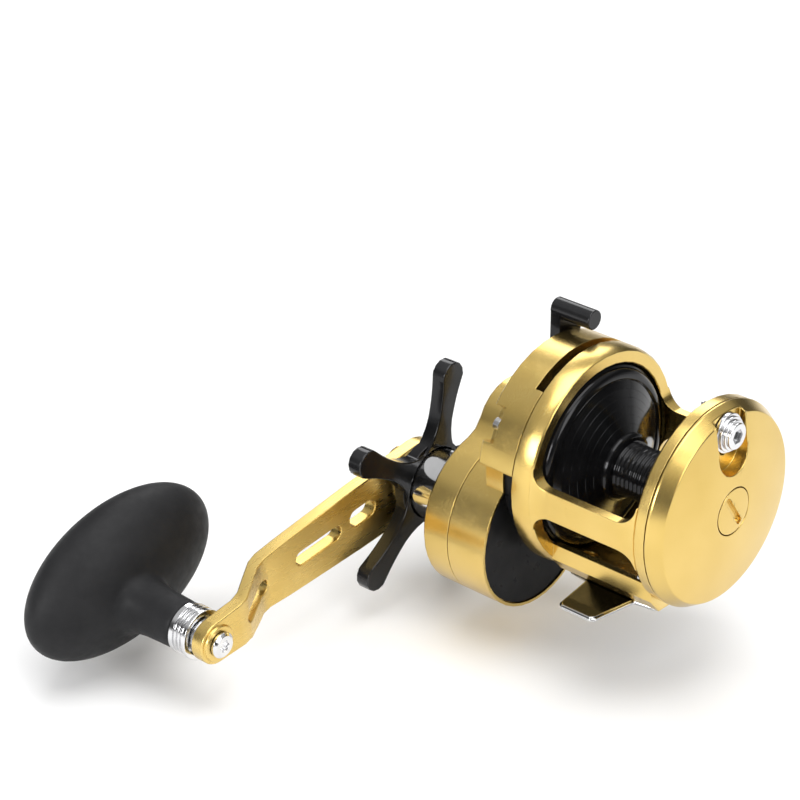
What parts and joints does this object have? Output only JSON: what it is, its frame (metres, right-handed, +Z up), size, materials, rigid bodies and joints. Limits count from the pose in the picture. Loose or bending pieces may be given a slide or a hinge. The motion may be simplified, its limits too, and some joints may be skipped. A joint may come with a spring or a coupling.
{
  "type": "trolling reel",
  "caption": "Star-drag conventional fishing reel with gold anodised frame, black spool, dogleg crank and egg-shaped power knob",
  "frame": {"origin": "middle of the reel foot's underside, where the foot rests in a rod's reel seat", "axes": "+X to the crank side along the spool axis, +Y forward the way the line leaves, +Z up away from the rod"},
  "size_m": [0.1723, 0.1863, 0.1094],
  "materials": {
    "gold_anodised": "satin gold anodised machined aluminium",
    "black_anodised": "glossy black anodised machined aluminium",
    "silver_chrome": "polished bright metal",
    "steel": "machined stainless steel",
    "brass": "machined brass",
    "carbon_washer": "woven carbon drag washer",
    "foot_chrome": "dark mirror-polished stainless steel",
    "grip_rubber": "matte fine-grained moulded grip"
  },
  "bodies": {
    "reel": {"frame": "gold_anodised", "reel_foot": "foot_chrome", "foot_screw_1": "brass", "foot_screw_2": "brass", "foot_screw_3": "brass", "foot_screw_4": "brass", "left_side_plate": "gold_anodised", "left_plate_screw_1": "steel", "left_plate_screw_2": "steel", "left_plate_screw_3": "steel", "left_spool_bearing": "steel", "right_side_plate": "gold_anodised", "inner_plate": "black_anodised", "gear_case_cover": "gold_anodised", "side_plate_screw_1": "silver_chrome", "side_plate_screw_2": "silver_chrome", "side_plate_screw_3": "silver_chrome", "cover_screw_1": "silver_chrome", "cover_screw_2": "silver_chrome", "cover_screw_3": "silver_chrome", "pinion_bearing": "steel", "shaft_end_bearing": "steel", "drive_shaft_bearing": "steel", "roller_clutch": "steel", "bearing_collar": "gold_anodised"},
    "crank": {"drive_shaft": "steel", "ratchet_wheel": "steel", "main_gear": "brass", "drag_washer_inner": "carbon_washer", "drag_plate": "steel", "drag_washer_outer": "carbon_washer", "pressure_plate": "steel", "spring_washer": "steel", "star_spacer": "silver_chrome", "hub_washer": "silver_chrome", "handle_arm": "gold_anodised", "handle_nut": "gold_anodised", "nut_lock_screw": "silver_chrome", "knob_screw": "silver_chrome", "knob_post": "steel"},
    "knob": {"knob_collar": "silver_chrome", "knob_bearing_1": "steel", "knob_bearing_2": "steel", "knob_grip": "grip_rubber"},
    "star": {"star_drag": "black_anodised"},
    "spool": {"spool": "black_anodised", "click_gear": "brass", "spool_shaft": "steel", "spool_drive_pin": "steel"},
    "yoke": {"clutch_yoke": "steel"},
    "pinion": {"pinion_gear": "brass"},
    "lever": {"freespool_lever": "black_anodised"},
    "pawl": {"anti_reverse_pawl": "steel"},
    "click": {"click_button": "silver_chrome", "click_tongue": "steel"},
    "cap": {"spool_tension_cap": "gold_anodised"}
  },
  "joints": [
    {"name": "handle_turn", "type": "hinge", "parent": "reel", "child": "crank", "pos_m": [0.088, 0.0142, 0.0095], "axis": [1, 0, 0], "continuous": true},
    {"name": "knob_spin", "type": "hinge", "parent": "crank", "child": "knob", "pos_m": [0.094, 0.11686, -0.00365], "axis": [1, 0, 0], "continuous": true},
    {"name": "star_turn", "type": "hinge", "parent": "crank", "child": "star", "pos_m": [0.079, 0.0142, 0.0095], "axis": [1, 0, 0], "range_deg": [-180, 180]},
    {"name": "spool_spin", "type": "hinge", "parent": "reel", "child": "spool", "pos_m": [0, 0, 0.0345], "axis": [1, 0, 0], "continuous": true},
    {"name": "yoke_slide", "type": "slide", "parent": "reel", "child": "yoke", "axis": [1, 0, 0], "range_m": [0, 0.0022]},
    {"name": "pinion_spin", "type": "hinge", "parent": "yoke", "child": "pinion", "pos_m": [0.04, 0, 0.0345], "axis": [1, 0, 0], "continuous": true},
    {"name": "lever_turn", "type": "hinge", "parent": "reel", "child": "lever", "pos_m": [0.0434, 0, 0.0345], "axis": [1, 0, 0], "range_deg": [-35, 0]},
    {"name": "pawl_pivot", "type": "hinge", "parent": "reel", "child": "pawl", "pos_m": [0.043, 0.00011, -0.00001], "axis": [1, 0, 0], "range_deg": [-14, 0], "stiffness_Nm_per_rad": 0.002, "springref_deg": 11.46},
    {"name": "click_slide", "type": "slide", "parent": "reel", "child": "click", "axis": [0, 0, 1], "range_m": [-0.0055, 0]},
    {"name": "cap_turn", "type": "hinge", "parent": "reel", "child": "cap", "pos_m": [-0.029, 0, 0.0345], "axis": [1, 0, 0], "range_deg": [-180, 180]}
  ],
  "couplings": [
    {"joint": "spool_spin", "follows": "handle_turn", "ratio": -6},
    {"joint": "pinion_spin", "follows": "handle_turn", "ratio": -6},
    {"joint": "yoke_slide", "follows": "lever_turn", "m_per_rad": -0.0036}
  ]
}
